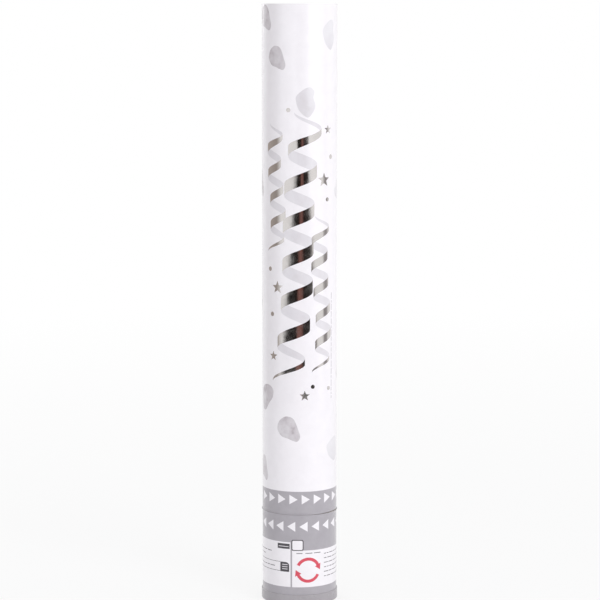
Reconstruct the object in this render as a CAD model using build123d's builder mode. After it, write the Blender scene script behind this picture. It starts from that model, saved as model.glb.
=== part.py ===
from build123d import *

import os
from math import cos, pi, sin, sqrt

# Confetti popper, 40 cm size: a printed card barrel on a twist grip that holds an air cylinder.
# The axis of the tube is Z, the end cap stands on Z = 0 and the front of the print faces -Y.

# Overall sizes
overall_length = 400.0
outer_diameter = 50.0
seam_height = 61.6
seam_gap = 0.5

# Fits
running_clearance = 0.1
clearance = 0.3
overrun = 1.0

# Card tubes and their printed paper skins
tube_wall = 1.7
wrap_thickness = 0.3

# End cap of the grip
cap_rim_height = 7.0
cap_rim_proud = 0.6
cap_recess_depth = 2.0
cap_floor_thickness = 2.0
cap_spigot_height = 12.0
cap_spigot_wall = 1.5
cap_edge_radius = 0.6
cap_rib_count = 8
cap_rib_thickness = 1.4
cap_rib_height = 1.2
cap_boss_radius = 6.0
cap_boss_wall = 1.6
cradle_rib_height = 12.0
pad_thickness = 3.0
pad_inset = 2.0

# Air cylinder
cylinder_gap = 0.5
cylinder_wall = 1.2
cylinder_base_thickness = 3.0
cylinder_base_dish = 1.5
cylinder_base_edge_radius = 4.0
cylinder_body_height = 95.0
cylinder_shoulder_height = 11.0
cylinder_shoulder_radius = 8.0
neck_radius = 9.3
neck_bore_radius = 7.5
neck_height = 9.0
neck_root_radius = 2.0
bead_radius = 11.3
bead_height = 4.0
bead_edge_radius = 1.2

# Neck bush, its gasket, and the crimped ferrule that holds both down
bush_bore_radius = 5.0
bush_depth = 14.0
bush_flange_thickness = 2.4
bush_lead_in = 1.0
gasket_thickness = 0.8
ferrule_thickness = 0.5
ferrule_mouth_radius = 6.5

# Slotted guide that turns the plug with the cylinder
guide_wall = 1.0
guide_post_wall = 3.2
guide_height = 16.0
guide_skirt_height = 7.5

# Sealing plug, its ring and its cross pin
plug_head_radius = 9.2
plug_head_height = 6.0
plug_stem_length = 8.5
plug_nose_chamfer = 0.8
plug_spigot_radius = 4.2
plug_spigot_height = 3.0
ring_section_radius = 0.9
ring_depth = 4.0
flute_count = 4
flute_radius = 1.1
pin_radius = 1.5
pin_end_gap = 1.1
pin_slot_clearance = 0.2

# Helical cam
twist_angle = 90.0
cam_lift = 6.0
cam_clearance = 0.25
cam_floor_thickness = 3.0
cam_floor_height = 11.0
cam_wall = 2.9
cam_overtravel_angle = 10.0
cam_stop_angle = 16.0
cam_stop_height = 4.0
cam_section_count = 7
cam_ramp_setback = 0.4

# Coupling sleeve and the collar that it snaps under
sleeve_gap = 1.5
sleeve_wall = 1.4
sleeve_ledge_height = 2.0
rib_height = 3.0
journal_setback = 1.0
glue_rib_setback = 4.0
collar_depth = 13.0
collar_height = 8.0
collar_gap = 0.25
hook_height = 3.2
hook_reach = 0.9
hook_chamfer = 0.7
finger_count = 6
finger_slot_width = 3.0
finger_slot_length = 10.0

# Valve spring and the bulkhead that it pushes on
spring_length = 16.0
spring_radius = 6.4
spring_wire_radius = 0.6
spring_turns = 5
spring_steps_per_turn = 4
bulkhead_thickness = 4.0
bulkhead_rim_height = 3.0
bulkhead_rim_width = 2.5
bulkhead_post_height = 5.0
port_count = 8
port_radius = 3.4

# Pusher wad
wad_gap = 0.5
pusher_card_thickness = 2.0
pusher_pad_thickness = 8.0
pusher_edge_radius = 1.0

# Petal confetti, in four stacks of die-cut bundles
stack_count = 4
bundles_per_stack = 7
petal_gap = 2.5
petal_width_share = 0.7
bundle_gap = 0.25
bundle_turn_angle = 137.5

# Muzzle lid, a greyboard disc with a foil face
lid_recess = 6.0
lid_thickness = 3.0
foil_thickness = 0.2

# Radii from the skin inwards
wrap_radius = outer_diameter / 2
tube_radius = wrap_radius - wrap_thickness
bore_radius = tube_radius - tube_wall
sleeve_radius = bore_radius - sleeve_gap
sleeve_bore_radius = sleeve_radius - sleeve_wall
cylinder_radius = sleeve_bore_radius - cylinder_gap
load_radius = bore_radius - wad_gap

# Heights from the foot upwards
grip_top = seam_height - seam_gap / 2
barrel_bottom = seam_height + seam_gap / 2
cap_floor_top = cap_recess_depth + cap_floor_thickness
pad_top = cap_floor_top + pad_thickness
shoulder_bottom = pad_top + cylinder_body_height
shoulder_top = shoulder_bottom + cylinder_shoulder_height
bead_bottom = shoulder_top + neck_height
cylinder_top = bead_bottom + bead_height
gasket_top = cylinder_top + gasket_thickness
bush_top = gasket_top + bush_flange_thickness
ferrule_top = bush_top + ferrule_thickness
head_bottom = ferrule_top + clearance
head_top = head_bottom + plug_head_height
pin_height = (head_bottom + head_top) / 2
guide_top = ferrule_top + guide_height
ramp_low = pin_height - pin_radius - cam_clearance
cam_floor_top = ramp_low - cam_floor_height
cam_bottom = cam_floor_top - cam_floor_thickness
bulkhead_bottom = head_top + spring_length
bulkhead_top = bulkhead_bottom + bulkhead_thickness
wad_bottom = bulkhead_top + bulkhead_rim_height + clearance
wad_middle = wad_bottom + pusher_card_thickness
wad_top = wad_middle + pusher_pad_thickness
lid_face = overall_length - lid_recess
lid_top = lid_face - foil_thickness
lid_bottom = lid_top - lid_thickness


def band(inner_radius, outer_radius, bottom, top):
    """One rectangle of a turned piece's half section."""
    with Locations((inner_radius, bottom)):
        Rectangle(outer_radius - inner_radius, top - bottom, align=(Align.MIN, Align.MIN))


# Barrel: the card tube, with its paper skin glued round it
with BuildPart() as barrel_tube:
    with BuildSketch(Plane.XZ):
        band(bore_radius, tube_radius, barrel_bottom, overall_length)
    revolve()

with BuildPart() as barrel_wrap:
    with BuildSketch(Plane.XZ):
        band(tube_radius, wrap_radius, barrel_bottom, overall_length)
    revolve()

# Grip: the same tube and skin, cut short and standing on the end cap's rim
with BuildPart() as grip_tube:
    with BuildSketch(Plane.XZ):
        band(bore_radius, tube_radius, cap_rim_height, grip_top)
    revolve()

with BuildPart() as grip_wrap:
    with BuildSketch(Plane.XZ):
        band(tube_radius, wrap_radius, cap_rim_height, grip_top)
    revolve()

# End cap: a moulded rim and floor, a spigot glued into the tube, ribs under the floor and a ribbed cradle
cap_radius = wrap_radius + cap_rim_proud
cap_rib_bottom = cap_recess_depth - cap_rib_height
spigot_bore_radius = bore_radius - cap_spigot_wall
with BuildPart() as base_cap:
    with BuildSketch(Plane.XZ):
        band(spigot_bore_radius, cap_radius, 0, cap_rim_height)
        band(0, cap_radius, cap_recess_depth, cap_floor_top)
        band(spigot_bore_radius, bore_radius, cap_rim_height, cap_rim_height + cap_spigot_height)
        band(cap_boss_radius - cap_boss_wall, cap_boss_radius, cap_rib_bottom, cap_recess_depth)
    revolve()
    rim_edges = base_cap.edges().filter_by(GeomType.CIRCLE).sort_by(SortBy.RADIUS)[-2:]
    fillet(rim_edges, radius=cap_edge_radius)
    rib_start = cap_boss_radius - cap_boss_wall / 2
    rib_end = spigot_bore_radius + cap_spigot_wall / 2
    with BuildSketch(Plane.XY.offset(cap_rib_bottom)):
        with PolarLocations((rib_start + rib_end) / 2, cap_rib_count):
            Rectangle(rib_end - rib_start, cap_rib_thickness)
    extrude(amount=cap_rib_height)
    with BuildSketch(Plane.XY.offset(cap_floor_top)):
        with PolarLocations((cylinder_radius + rib_end) / 2, cap_rib_count):
            Rectangle(rib_end - cylinder_radius, cap_rib_thickness)
    extrude(amount=cradle_rib_height)

with BuildPart() as base_pad:
    with BuildSketch(Plane.XZ):
        band(0, cylinder_radius - pad_inset, cap_floor_top, pad_top)
    revolve()

# Air cylinder: an aluminium shell with a dished base, a round shoulder and a beaded neck
shoulder_radius = min(cylinder_shoulder_radius, cylinder_radius - neck_radius - neck_root_radius)
with BuildPart() as gas_cylinder:
    with BuildSketch(Plane.XZ):
        with BuildLine():
            FilletPolyline(
                (0, pad_top),
                (cylinder_radius, pad_top),
                (cylinder_radius, shoulder_top),
                (neck_radius, shoulder_top),
                (neck_radius, cylinder_top),
                (0, cylinder_top),
                radius=[cylinder_base_edge_radius, shoulder_radius, neck_root_radius, cylinder_wall],
            )
            Line((0, cylinder_top), (0, pad_top))
        make_face()
    revolve()
    with BuildSketch(Plane.XZ) as bead_section:
        band(neck_bore_radius, bead_radius, bead_bottom, cylinder_top)
        fillet(bead_section.vertices().group_by(Axis.X)[-1], radius=bead_edge_radius)
    revolve()
    with BuildSketch(Plane.XZ):
        with BuildLine():
            hollow_radius = cylinder_radius - cylinder_wall
            hollow_bottom = pad_top + cylinder_base_thickness
            hollow_top = shoulder_top - cylinder_wall
            FilletPolyline(
                (0, hollow_bottom),
                (hollow_radius, hollow_bottom),
                (hollow_radius, hollow_top),
                (neck_bore_radius, hollow_top),
                (neck_bore_radius, cylinder_top + bead_height),
                (0, cylinder_top + bead_height),
                radius=[
                    cylinder_base_edge_radius - cylinder_wall,
                    shoulder_radius - cylinder_wall,
                    neck_root_radius + cylinder_wall,
                    cylinder_wall,
                ],
            )
            Line((0, cylinder_top + bead_height), (0, hollow_bottom))
        make_face()
    revolve(mode=Mode.SUBTRACT)
    dish_radius = cylinder_radius - cylinder_base_edge_radius
    with BuildSketch(Plane.XZ):
        with BuildLine():
            RadiusArc(
                (0, pad_top + cylinder_base_dish),
                (dish_radius, pad_top),
                (dish_radius**2 + cylinder_base_dish**2) / (2 * cylinder_base_dish),
            )
            Polyline((dish_radius, pad_top), (0, pad_top), (0, pad_top + cylinder_base_dish))
        make_face()
    revolve(mode=Mode.SUBTRACT)

# Neck: the gasket and the bored bush, held on the bead by a crimped ferrule
with BuildPart() as neck_gasket:
    with BuildSketch(Plane.XZ):
        band(neck_bore_radius, bead_radius, cylinder_top, gasket_top)
    revolve()

with BuildPart() as neck_bush:
    with BuildSketch(Plane.XZ):
        band(bush_bore_radius, neck_bore_radius, gasket_top - bush_depth, bush_top)
        band(bush_bore_radius, bead_radius, gasket_top, bush_top)
    revolve()
    chamfer(neck_bush.edges().filter_by(GeomType.CIRCLE).group_by(Axis.Z)[0].sort_by(SortBy.RADIUS)[0],
            length=bush_lead_in)

ferrule_bore_radius = bead_radius + running_clearance
ferrule_radius = ferrule_bore_radius + ferrule_thickness
with BuildPart() as crimp_ferrule:
    with BuildSketch(Plane.XZ):
        band(ferrule_mouth_radius, ferrule_radius, bush_top, ferrule_top)
        band(ferrule_bore_radius, ferrule_radius, bead_bottom - ferrule_thickness, ferrule_top)
        band(neck_radius + clearance, ferrule_radius, bead_bottom - ferrule_thickness, bead_bottom)
    revolve()

# Plug guide: a crown pressed over the ferrule, slotted for the cross pin
guide_radius = ferrule_radius + guide_wall
guide_bore_radius = guide_radius - guide_post_wall
guide_slot_width = 2 * (pin_radius + pin_slot_clearance)
guide_slot_bottom = pin_height - pin_radius - pin_slot_clearance
with BuildPart() as plug_guide:
    with BuildSketch(Plane.XZ):
        band(ferrule_radius, guide_radius, ferrule_top - guide_skirt_height, ferrule_top)
        band(guide_bore_radius, guide_radius, ferrule_top, guide_top)
    revolve()
    with BuildSketch(Plane.XY.offset(guide_slot_bottom)):
        Rectangle(2 * (guide_radius + overrun), guide_slot_width)
    extrude(amount=guide_top - guide_slot_bottom + overrun, mode=Mode.SUBTRACT)

# Sealing plug: a headed stopper with a ring groove, gas flutes at its nose and a cross hole
stem_radius = bush_bore_radius - running_clearance
stem_bottom = head_bottom - plug_stem_length
ring_radius = stem_radius - ring_section_radius
ring_height = head_bottom - ring_depth
with BuildPart() as sealing_plug:
    with BuildSketch(Plane.XZ):
        band(0, stem_radius, stem_bottom, head_bottom)
        band(0, plug_head_radius, head_bottom, head_top)
        band(0, plug_spigot_radius, head_top, head_top + plug_spigot_height)
    revolve()
    chamfer(sealing_plug.edges().filter_by(GeomType.CIRCLE).group_by(Axis.Z)[0], length=plug_nose_chamfer)
    with BuildSketch(Plane.XZ):
        groove_bottom = ring_height - ring_section_radius - running_clearance
        groove_top = ring_height + ring_section_radius + running_clearance
        band(ring_radius - ring_section_radius, stem_radius + overrun, groove_bottom, groove_top)
    revolve(mode=Mode.SUBTRACT)
    with BuildSketch(Plane.XY.offset(stem_bottom)):
        with PolarLocations(stem_radius, flute_count):
            Circle(flute_radius)
    extrude(amount=groove_bottom - stem_bottom, mode=Mode.SUBTRACT)
    with Locations(Plane.YZ.offset(-plug_head_radius - overrun)):
        with Locations((0, pin_height)):
            Cylinder(pin_radius, 2 * (plug_head_radius + overrun),
                     align=(Align.CENTER, Align.CENTER, Align.MIN), mode=Mode.SUBTRACT)

with BuildPart() as plug_o_ring:
    with BuildSketch(Plane.XZ):
        with Locations((ring_radius, ring_height)):
            Circle(ring_section_radius)
    revolve()

cam_wall_radius = sleeve_radius - cam_wall
pin_length = 2 * (cam_wall_radius - pin_end_gap)
with BuildPart() as cross_pin:
    with BuildSketch(Plane.YZ.offset(-pin_length / 2)):
        with Locations((0, pin_height)):
            Circle(pin_radius)
    extrude(amount=pin_length)

# Cam ring: a drum glued into the sleeve, with two helical ramps that lift the pin as the grip turns
cam_bore_radius = guide_radius + cylinder_gap
ramp_bore_radius = cam_bore_radius + cam_ramp_setback
ramp_radius = sleeve_radius - cam_wall / 2
ramp_bottom = cam_floor_top - cam_floor_thickness / 2
ramp_sweep = twist_angle + 2 * cam_overtravel_angle
stop_top = ramp_low + cam_lift + cam_stop_height
with BuildPart() as cam_ring:
    with BuildSketch(Plane.XZ):
        band(cam_bore_radius, sleeve_radius, cam_bottom, cam_floor_top)
        band(cam_wall_radius, sleeve_radius, cam_bottom, bulkhead_bottom)
    revolve()
    for start_angle in (cam_overtravel_angle, 180 + cam_overtravel_angle):
        for step in range(cam_section_count):
            turned = ramp_sweep * step / (cam_section_count - 1)
            ramp_top = ramp_low + cam_lift * (turned - cam_overtravel_angle) / twist_angle
            with BuildSketch(Plane.XZ.rotated((0, 0, start_angle - turned))):
                band(ramp_bore_radius, ramp_radius, ramp_bottom, ramp_top)
        loft()
        for stop_angle in (start_angle, start_angle - ramp_sweep - cam_stop_angle):
            with BuildSketch(Plane.XZ.rotated((0, 0, stop_angle))):
                band(ramp_bore_radius, ramp_radius, ramp_bottom, stop_top)
            revolve(revolution_arc=cam_stop_angle)

# Coupling sleeve: ribs glue it into the barrel and run in the grip, and its fingers snap under the collar
collar_top = grip_top - collar_depth
collar_bottom = collar_top - collar_height
hook_top = collar_bottom - clearance
sleeve_bottom = hook_top - hook_height
sleeve_upper_bottom = cam_bottom - sleeve_ledge_height
journal_radius = bore_radius - running_clearance
hook_radius = sleeve_radius + hook_reach
with BuildPart() as coupling_sleeve:
    with BuildSketch(Plane.XZ):
        band(sleeve_bore_radius, sleeve_radius, sleeve_bottom, cam_bottom)
        band(sleeve_bore_radius, hook_radius, sleeve_bottom, hook_top)
        for rib_bottom in (collar_top + clearance, grip_top - journal_setback - rib_height):
            band(sleeve_bore_radius, journal_radius, rib_bottom, rib_bottom + rib_height)
        glue_rib_bottom = barrel_bottom + glue_rib_setback
        band(sleeve_bore_radius, bore_radius, glue_rib_bottom, glue_rib_bottom + rib_height)
        band(sleeve_bore_radius, bore_radius, sleeve_upper_bottom, cam_bottom)
        band(sleeve_radius, bore_radius, sleeve_upper_bottom, bulkhead_bottom)
    revolve()
    hook_edge = coupling_sleeve.edges().filter_by(GeomType.CIRCLE).group_by(Axis.Z)[0].sort_by(SortBy.RADIUS)
    chamfer(hook_edge[-1], length=hook_chamfer)
    with BuildSketch(Plane.XY.offset(sleeve_bottom)):
        with PolarLocations(sleeve_radius, finger_count):
            Rectangle(2 * sleeve_gap + sleeve_wall, finger_slot_width)
    extrude(amount=finger_slot_length, mode=Mode.SUBTRACT)

with BuildPart() as grip_collar:
    with BuildSketch(Plane.XZ):
        band(sleeve_radius + collar_gap, bore_radius, collar_bottom, collar_top)
    revolve()

# Bulkhead: a ported plate on top of the sleeve, with a post for the spring and a rim for the wad
with BuildPart() as bulkhead:
    with BuildSketch(Plane.XZ):
        band(0, bore_radius, bulkhead_bottom, bulkhead_top)
        band(bore_radius - bulkhead_rim_width, bore_radius, bulkhead_top, bulkhead_top + bulkhead_rim_height)
        band(0, plug_spigot_radius, bulkhead_bottom - bulkhead_post_height, bulkhead_bottom)
    revolve()
    port_circle_radius = (plug_spigot_radius + cam_wall_radius) / 2 + port_radius / 2
    with BuildSketch(Plane.XY.offset(bulkhead_bottom)):
        with PolarLocations(port_circle_radius, port_count):
            Circle(port_radius)
    extrude(amount=bulkhead_thickness, mode=Mode.SUBTRACT)

# Valve spring: one unbroken wire, its turns drawn as pairs of tangent arcs
spring_bottom = head_top + clearance + spring_wire_radius
spring_top = bulkhead_bottom - spring_wire_radius
spring_pitch = (spring_top - spring_bottom) / spring_turns


def spring_point(turn):
    """The wire's centre after a number of turns."""
    angle = 2 * pi * turn
    return Vector(spring_radius * cos(angle), spring_radius * sin(angle), spring_bottom + spring_pitch * turn)


def spring_direction(turn):
    """The wire's direction after a number of turns."""
    angle = 2 * pi * turn
    around = 2 * pi * spring_radius
    return Vector(-around * sin(angle), around * cos(angle), spring_pitch).normalized()


with BuildPart() as valve_spring:
    with BuildLine() as spring_path:
        for step in range(spring_turns * spring_steps_per_turn):
            turn, next_turn = step / spring_steps_per_turn, (step + 1) / spring_steps_per_turn
            start, end = spring_point(turn), spring_point(next_turn)
            leave, arrive = spring_direction(turn), spring_direction(next_turn)
            across, bend = end - start, leave + arrive
            quadratic = bend.dot(bend) - 4
            linear = across.dot(bend)
            reach = (linear - sqrt(linear**2 - quadratic * across.dot(across))) / quadratic
            first_corner, second_corner = start + leave * reach, end - arrive * reach
            meeting = (first_corner + second_corner) * 0.5
            TangentArc(start, meeting, tangent=leave)
            TangentArc(meeting, end, tangent=second_corner - first_corner)
    with BuildSketch(Plane(origin=spring_point(0), z_dir=spring_direction(0))):
        Circle(spring_wire_radius)
    sweep(path=spring_path.line)
turn_gap = (spring_point(1) - spring_point(0)).length - 2 * spring_wire_radius
print(f"least gap between the spring's turns: {turn_gap:.2f} mm")

# Pusher wad: a card disc under a foam pad
with BuildPart() as pusher_card:
    with BuildSketch(Plane.XZ):
        band(0, load_radius, wad_bottom, wad_middle)
    revolve()

with BuildPart() as pusher_pad:
    with BuildSketch(Plane.XZ):
        band(0, load_radius, wad_middle, wad_top)
    revolve()
    fillet(pusher_pad.edges().filter_by(GeomType.CIRCLE).group_by(Axis.Z)[-1], radius=pusher_edge_radius)

# Petal confetti: bundles of die-cut petals, each turned against the one below
bundle_count = stack_count * bundles_per_stack
bundle_pitch = (lid_bottom - clearance - wad_top) / bundle_count
petal_length = 2 * (load_radius - petal_gap)
petal_end_radius = petal_width_share * petal_length / 2
petal_middle = petal_length / 2 - petal_end_radius
confetti_stacks = []
for stack in range(stack_count):
    with BuildPart() as confetti_stack:
        for bundle in range(stack * bundles_per_stack, (stack + 1) * bundles_per_stack):
            bundle_bottom = wad_top + bundle_gap + bundle * bundle_pitch
            bundle_plane = Plane.XY.offset(bundle_bottom).rotated((0, 0, bundle * bundle_turn_angle))
            with BuildSketch(bundle_plane):
                with BuildLine():
                    tip = (-petal_length / 2, 0)
                    upper = (petal_middle, petal_end_radius)
                    lower = (petal_middle, -petal_end_radius)
                    TangentArc(upper, tip, tangent=(-1, 0))
                    TangentArc(lower, tip, tangent=(-1, 0))
                    ThreePointArc(upper, (petal_length / 2, 0), lower)
                make_face()
            extrude(amount=bundle_pitch - bundle_gap)
    confetti_stacks.append(confetti_stack)

# Muzzle lid: a greyboard disc pushed into the barrel, faced with foil
lid_radius = bore_radius - running_clearance
with BuildPart() as muzzle_lid:
    with BuildSketch(Plane.XZ):
        band(0, lid_radius, lid_bottom, lid_top)
    revolve()

with BuildPart() as lid_foil:
    with BuildSketch(Plane.XZ):
        band(0, lid_radius, lid_top, lid_face)
    revolve()

pieces = {
    "barrel_tube": barrel_tube,
    "barrel_wrap": barrel_wrap,
    "grip_tube": grip_tube,
    "grip_wrap": grip_wrap,
    "base_cap": base_cap,
    "base_pad": base_pad,
    "gas_cylinder": gas_cylinder,
    "neck_gasket": neck_gasket,
    "neck_bush": neck_bush,
    "crimp_ferrule": crimp_ferrule,
    "plug_guide": plug_guide,
    "sealing_plug": sealing_plug,
    "plug_o_ring": plug_o_ring,
    "cross_pin": cross_pin,
    "cam_ring": cam_ring,
    "coupling_sleeve": coupling_sleeve,
    "grip_collar": grip_collar,
    "bulkhead": bulkhead,
    "valve_spring": valve_spring,
    "pusher_card": pusher_card,
    "pusher_pad": pusher_pad,
    "muzzle_lid": muzzle_lid,
    "lid_foil": lid_foil,
}
for number, confetti_stack in enumerate(confetti_stacks, start=1):
    pieces[f"confetti_stack_{number}"] = confetti_stack

os.makedirs("parts", exist_ok=True)
for name, piece in pieces.items():
    piece.part.label = name
    export_step(piece.part, f"parts/{name}.step")
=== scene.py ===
from math import atan2, ceil, cos, floor, pi, radians, sin
from random import Random

import bmesh
import bpy
from mathutils import Matrix, Vector
from mathutils.geometry import interpolate_bezier
from mathutils.noise import voronoi


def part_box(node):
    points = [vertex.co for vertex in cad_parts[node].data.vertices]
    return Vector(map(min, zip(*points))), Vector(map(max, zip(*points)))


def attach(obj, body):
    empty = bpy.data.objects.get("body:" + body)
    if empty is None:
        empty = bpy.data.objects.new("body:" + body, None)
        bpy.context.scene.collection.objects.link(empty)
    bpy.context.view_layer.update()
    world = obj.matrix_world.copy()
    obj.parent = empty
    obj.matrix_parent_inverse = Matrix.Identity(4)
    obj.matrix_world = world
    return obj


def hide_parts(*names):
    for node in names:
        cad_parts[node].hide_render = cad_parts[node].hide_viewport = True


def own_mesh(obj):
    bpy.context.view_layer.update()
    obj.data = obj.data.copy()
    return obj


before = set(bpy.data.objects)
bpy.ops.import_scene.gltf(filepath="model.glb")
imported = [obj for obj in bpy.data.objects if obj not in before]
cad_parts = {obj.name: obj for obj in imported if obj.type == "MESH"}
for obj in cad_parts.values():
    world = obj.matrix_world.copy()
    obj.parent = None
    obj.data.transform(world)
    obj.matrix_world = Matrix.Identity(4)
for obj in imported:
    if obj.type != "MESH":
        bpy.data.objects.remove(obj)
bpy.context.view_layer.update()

# End cap: the grey foot that closes the grip, one polypropylene moulding with a proud rim and ribs below.
# Its spigot is glued into the card tube. A die-cut foam disc stuck on its floor cushions the air cylinder.
MM = 0.001


def linear(hex_colour):
    """The linear colour of an sRGB hex value, with an alpha of 1."""
    parts = [int(hex_colour[start:start + 2], 16) / 255 for start in (1, 3, 5)]
    return (*[part / 12.92 if part <= 0.04045 else ((part + 0.055) / 1.055) ** 2.4 for part in parts], 1)


def fill(tree, node, inputs):
    """Sets a node's inputs, or links them to a socket or to another node's first output."""
    for name, value in inputs.items():
        if isinstance(value, bpy.types.Node):
            value = value.outputs[0]
        if isinstance(value, bpy.types.NodeSocket):
            tree.links.new(value, node.inputs[name])
        else:
            node.inputs[name].default_value = value
    return node


def add(tree, kind, inputs, stops=(), **settings):
    """Adds a node with its settings and inputs and, on a colour ramp, its stops of place and hex colour."""
    node = tree.nodes.new("ShaderNode" + kind)
    for name, value in settings.items():
        setattr(node, name, value)
    for number, (position, colour) in enumerate(stops):
        elements = node.color_ramp.elements
        element = elements[number] if number < 2 else elements.new(position)
        element.position, element.color = position, linear(colour)
    return fill(tree, node, inputs)


def new_material(name):
    """A new material, its node tree, and the piece's own coordinates in it."""
    material = bpy.data.materials.new(name)
    material.use_nodes = True
    return material, material.node_tree, add(material.node_tree, "TexCoord", {}).outputs["Object"]


def shade(tree, inputs):
    """Sets or links the sockets of a material's shader."""
    return fill(tree, tree.nodes["Principled BSDF"], inputs)


def dress(node, material):
    """Gives a solid of the frame its finish."""
    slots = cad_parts[node].data.materials
    slots.clear()
    slots.append(material)


# Polypropylene from a spark-eroded mould: satin, with a grit of about 0.35 mm that breaks up the shine.
polypropylene, tree, place = new_material("Moulded grey polypropylene")
flow = add(tree, "TexNoise", {"Vector": place, "Scale": 1 / (9 * MM), "Detail": 4})
grit = add(tree, "TexNoise", {"Vector": place, "Scale": 1 / (0.35 * MM), "Detail": 3})
shade(tree, {
    "Base Color": add(tree, "ValToRGB", {"Fac": flow}, stops=[(0.3, "#ADA9AE"), (0.7, "#A39FA4")]),
    "Roughness": add(tree, "Math", {0: flow, 1: 0.3, 2: 0.1}, operation="MULTIPLY_ADD"),
    "Normal": add(tree, "Bump", {"Height": grit, "Distance": 0.015 * MM}),
    "IOR": 1.49,
})
dress("base_cap", polypropylene)

# Closed-cell polyethylene foam: matte, with skinned-over cells of about 0.8 mm.
foam, tree, place = new_material("Closed-cell polyethylene foam")
cells = add(tree, "TexVoronoi", {"Vector": place, "Scale": 1 / (0.8 * MM)})
shade(tree, {
    "Base Color": add(tree, "ValToRGB", {"Fac": cells}, stops=[(0.1, "#DEDDDA"), (0.6, "#F0EFEC")]),
    "Normal": add(tree, "Bump", {"Height": cells, "Distance": 0.15 * MM}),
    "Roughness": 0.85,
    "IOR": 1.45,
})
SEGMENTS = 160
WELD = 0.001 * MM
FOAM_NIP = 0.4 * MM
FOAM_EDGE = 0.9 * MM


def make_piece(name, shape, body, *materials, sharp=35):
    """Makes a finished bmesh an object that moves with a body. Edges over the sharp angle stay crisp."""
    mesh = bpy.data.meshes.new(name)
    shape.to_mesh(mesh)
    shape.free()
    for material in materials:
        mesh.materials.append(material)
    mesh.polygons.foreach_set("use_smooth", [True] * len(mesh.polygons))
    mesh.set_sharp_from_angle(angle=radians(sharp))
    piece = bpy.data.objects.new(name, mesh)
    bpy.context.scene.collection.objects.link(piece)
    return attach(piece, body)


def turned(outline, closed=True):
    """A turned shape from the corners of its half section, radius first. An open one starts on the axis."""
    shape = bmesh.new()
    corners = [shape.verts.new((radius, 0, height)) for radius, height in outline]
    edges = [shape.edges.new(pair) for pair in zip(corners, corners[1:])]
    if closed:
        edges.append(shape.edges.new((corners[-1], corners[0])))
    bmesh.ops.spin(shape, geom=corners + edges, axis=(0, 0, 1), angle=2 * pi, steps=SEGMENTS, use_merge=True)
    bmesh.ops.remove_doubles(shape, verts=shape.verts, dist=WELD)
    bmesh.ops.recalc_face_normals(shape, faces=shape.faces)
    return shape


def foam_pad(name, node, body):
    """A disc die-cut from foam sheet. The cutter draws its side in and rounds its edges over."""
    low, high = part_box(node)
    waist = high.x - FOAM_NIP
    shape = turned([
        (0, low.z), (high.x, low.z), (waist, (low.z + high.z) / 2), (high.x, high.z), (0, high.z),
    ], closed=False)
    near_rim = waist + FOAM_NIP / 2
    rims = [edge for edge in shape.edges if min(vert.co.xy.length for vert in edge.verts) > near_rim]
    bmesh.ops.bevel(shape, geom=rims, offset=FOAM_EDGE, affect="EDGES", segments=4, profile=0.5, material=-1)
    pad = make_piece(name, shape, body, foam)
    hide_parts(node)


foam_pad("cylinder_cushion", "base_pad", "grip")

# Air cylinder: a shell deep-drawn from aluminium, that stands on the foam and stores the air of the shot.
# A rubber gasket and an acetal bush are crimped on its beaded neck by a ferrule, under a slotted guide.

# Drawn aluminium: bright, with fine lines along the draw, 0.4 mm apart and 40 times as long.
DRAW_STRETCH = 40
drawn_aluminium, tree, place = new_material("Drawn aluminium")
drawn = add(tree, "Mapping", {"Vector": place, "Scale": (1, 1, 1 / DRAW_STRETCH)})
lines = add(tree, "TexNoise", {"Vector": drawn, "Scale": 1 / (0.4 * MM), "Detail": 3})
shade(tree, {
    "Base Color": add(tree, "ValToRGB", {"Fac": lines}, stops=[(0.3, "#D4D6D9"), (0.7, "#C3C5C9")]),
    "Roughness": add(tree, "Math", {0: lines, 1: 0.35, 2: 0.17}, operation="MULTIPLY_ADD"),
    "Normal": add(tree, "Bump", {"Height": lines, "Distance": 0.01 * MM}),
    "Metallic": 1.0,
})
dress("gas_cylinder", drawn_aluminium)
dress("crimp_ferrule", drawn_aluminium)

# Nitrile rubber: near black and dull, with a bloom that greys it in patches.
nitrile, tree, place = new_material("Nitrile rubber")
bloom = add(tree, "TexNoise", {"Vector": place, "Scale": 1 / (3 * MM), "Detail": 4})
shade(tree, {
    "Base Color": add(tree, "ValToRGB", {"Fac": bloom}, stops=[(0.3, "#1B1B1C"), (0.7, "#2A2A2B")]),
    "Normal": add(tree, "Bump", {"Height": bloom, "Distance": 0.02 * MM}),
    "Roughness": 0.65,
    "IOR": 1.52,
})
dress("neck_gasket", nitrile)
dress("plug_o_ring", nitrile)

# Acetal: a dense white plastic with a waxy shine and a faint swirl from the gate.
acetal, tree, place = new_material("Moulded white acetal")
swirl = add(tree, "TexNoise", {"Vector": place, "Scale": 1 / (14 * MM), "Detail": 3, "Distortion": 0.8})
wax = add(tree, "TexNoise", {"Vector": place, "Scale": 1 / (0.6 * MM)})
shade(tree, {
    "Base Color": add(tree, "ValToRGB", {"Fac": swirl}, stops=[(0.3, "#EDEDE9"), (0.7, "#E2E2DD")]),
    "Roughness": add(tree, "Math", {0: swirl, 1: 0.3, 2: 0.19}, operation="MULTIPLY_ADD"),
    "Normal": add(tree, "Bump", {"Height": wax, "Distance": 0.01 * MM}),
    "IOR": 1.48,
})
ACETAL_PIECES = (
    "neck_bush", "plug_guide", "sealing_plug", "cam_ring", "coupling_sleeve", "grip_collar", "bulkhead",
)
for moulding in ACETAL_PIECES:
    dress(moulding, acetal)
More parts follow.
